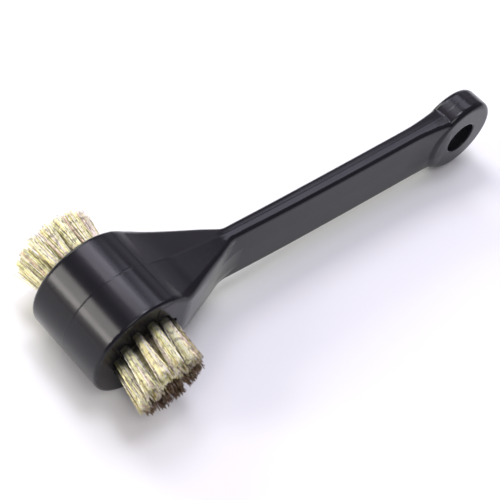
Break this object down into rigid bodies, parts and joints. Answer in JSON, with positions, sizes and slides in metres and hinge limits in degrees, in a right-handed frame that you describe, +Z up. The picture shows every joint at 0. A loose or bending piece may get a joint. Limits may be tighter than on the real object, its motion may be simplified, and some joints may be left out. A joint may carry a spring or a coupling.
{
  "type": "club groove brush",
  "caption": "Hand brush with a round head that carries wire bristles at both ends, a wedge neck, a flat bar handle and a hanging eye, for cleaning the grooves of golf club faces.",
  "frame": {"origin": "centre of the hanging hole, half way through the eye", "axes": "-X along the handle to the head, +Y along the hanging hole and the axis of the head to the rear bristles, +Z up, across the handle's height"},
  "size_m": [0.1942, 0.0614, 0.038],
  "materials": {
    "body_plastic": "black moulded plastic with a satin sheen",
    "bristle_wire": "thin crimped wire with a pale brass plating",
    "anchor_wire": "flat drawn wire"
  },
  "bodies": {
    "root": {"body": "body_plastic", "front_outer_tuft_1": "bristle_wire", "front_outer_tuft_2": "bristle_wire", "front_outer_tuft_3": "bristle_wire", "front_outer_tuft_4": "bristle_wire", "front_outer_tuft_5": "bristle_wire", "front_outer_tuft_6": "bristle_wire", "front_outer_tuft_7": "bristle_wire", "front_outer_tuft_8": "bristle_wire", "front_outer_tuft_9": "bristle_wire", "front_outer_tuft_10": "bristle_wire", "front_outer_tuft_11": "bristle_wire", "front_outer_tuft_12": "bristle_wire", "front_inner_tuft_1": "bristle_wire", "front_inner_tuft_2": "bristle_wire", "front_inner_tuft_3": "bristle_wire", "front_inner_tuft_4": "bristle_wire", "front_inner_tuft_5": "bristle_wire", "front_inner_tuft_6": "bristle_wire", "rear_outer_tuft_1": "bristle_wire", "rear_outer_tuft_2": "bristle_wire", "rear_outer_tuft_3": "bristle_wire", "rear_outer_tuft_4": "bristle_wire", "rear_outer_tuft_5": "bristle_wire", "rear_outer_tuft_6": "bristle_wire", "rear_outer_tuft_7": "bristle_wire", "rear_outer_tuft_8": "bristle_wire", "rear_outer_tuft_9": "bristle_wire", "rear_outer_tuft_10": "bristle_wire", "rear_outer_tuft_11": "bristle_wire", "rear_outer_tuft_12": "bristle_wire", "rear_outer_tuft_13": "bristle_wire", "rear_outer_tuft_14": "bristle_wire", "rear_outer_tuft_15": "bristle_wire", "rear_outer_tuft_16": "bristle_wire", "rear_inner_tuft_1": "bristle_wire", "rear_inner_tuft_2": "bristle_wire", "rear_inner_tuft_3": "bristle_wire", "rear_inner_tuft_4": "bristle_wire", "rear_inner_tuft_5": "bristle_wire", "rear_inner_tuft_6": "bristle_wire", "front_anchors": "anchor_wire", "rear_anchors": "anchor_wire"}
  },
  "joints": []
}
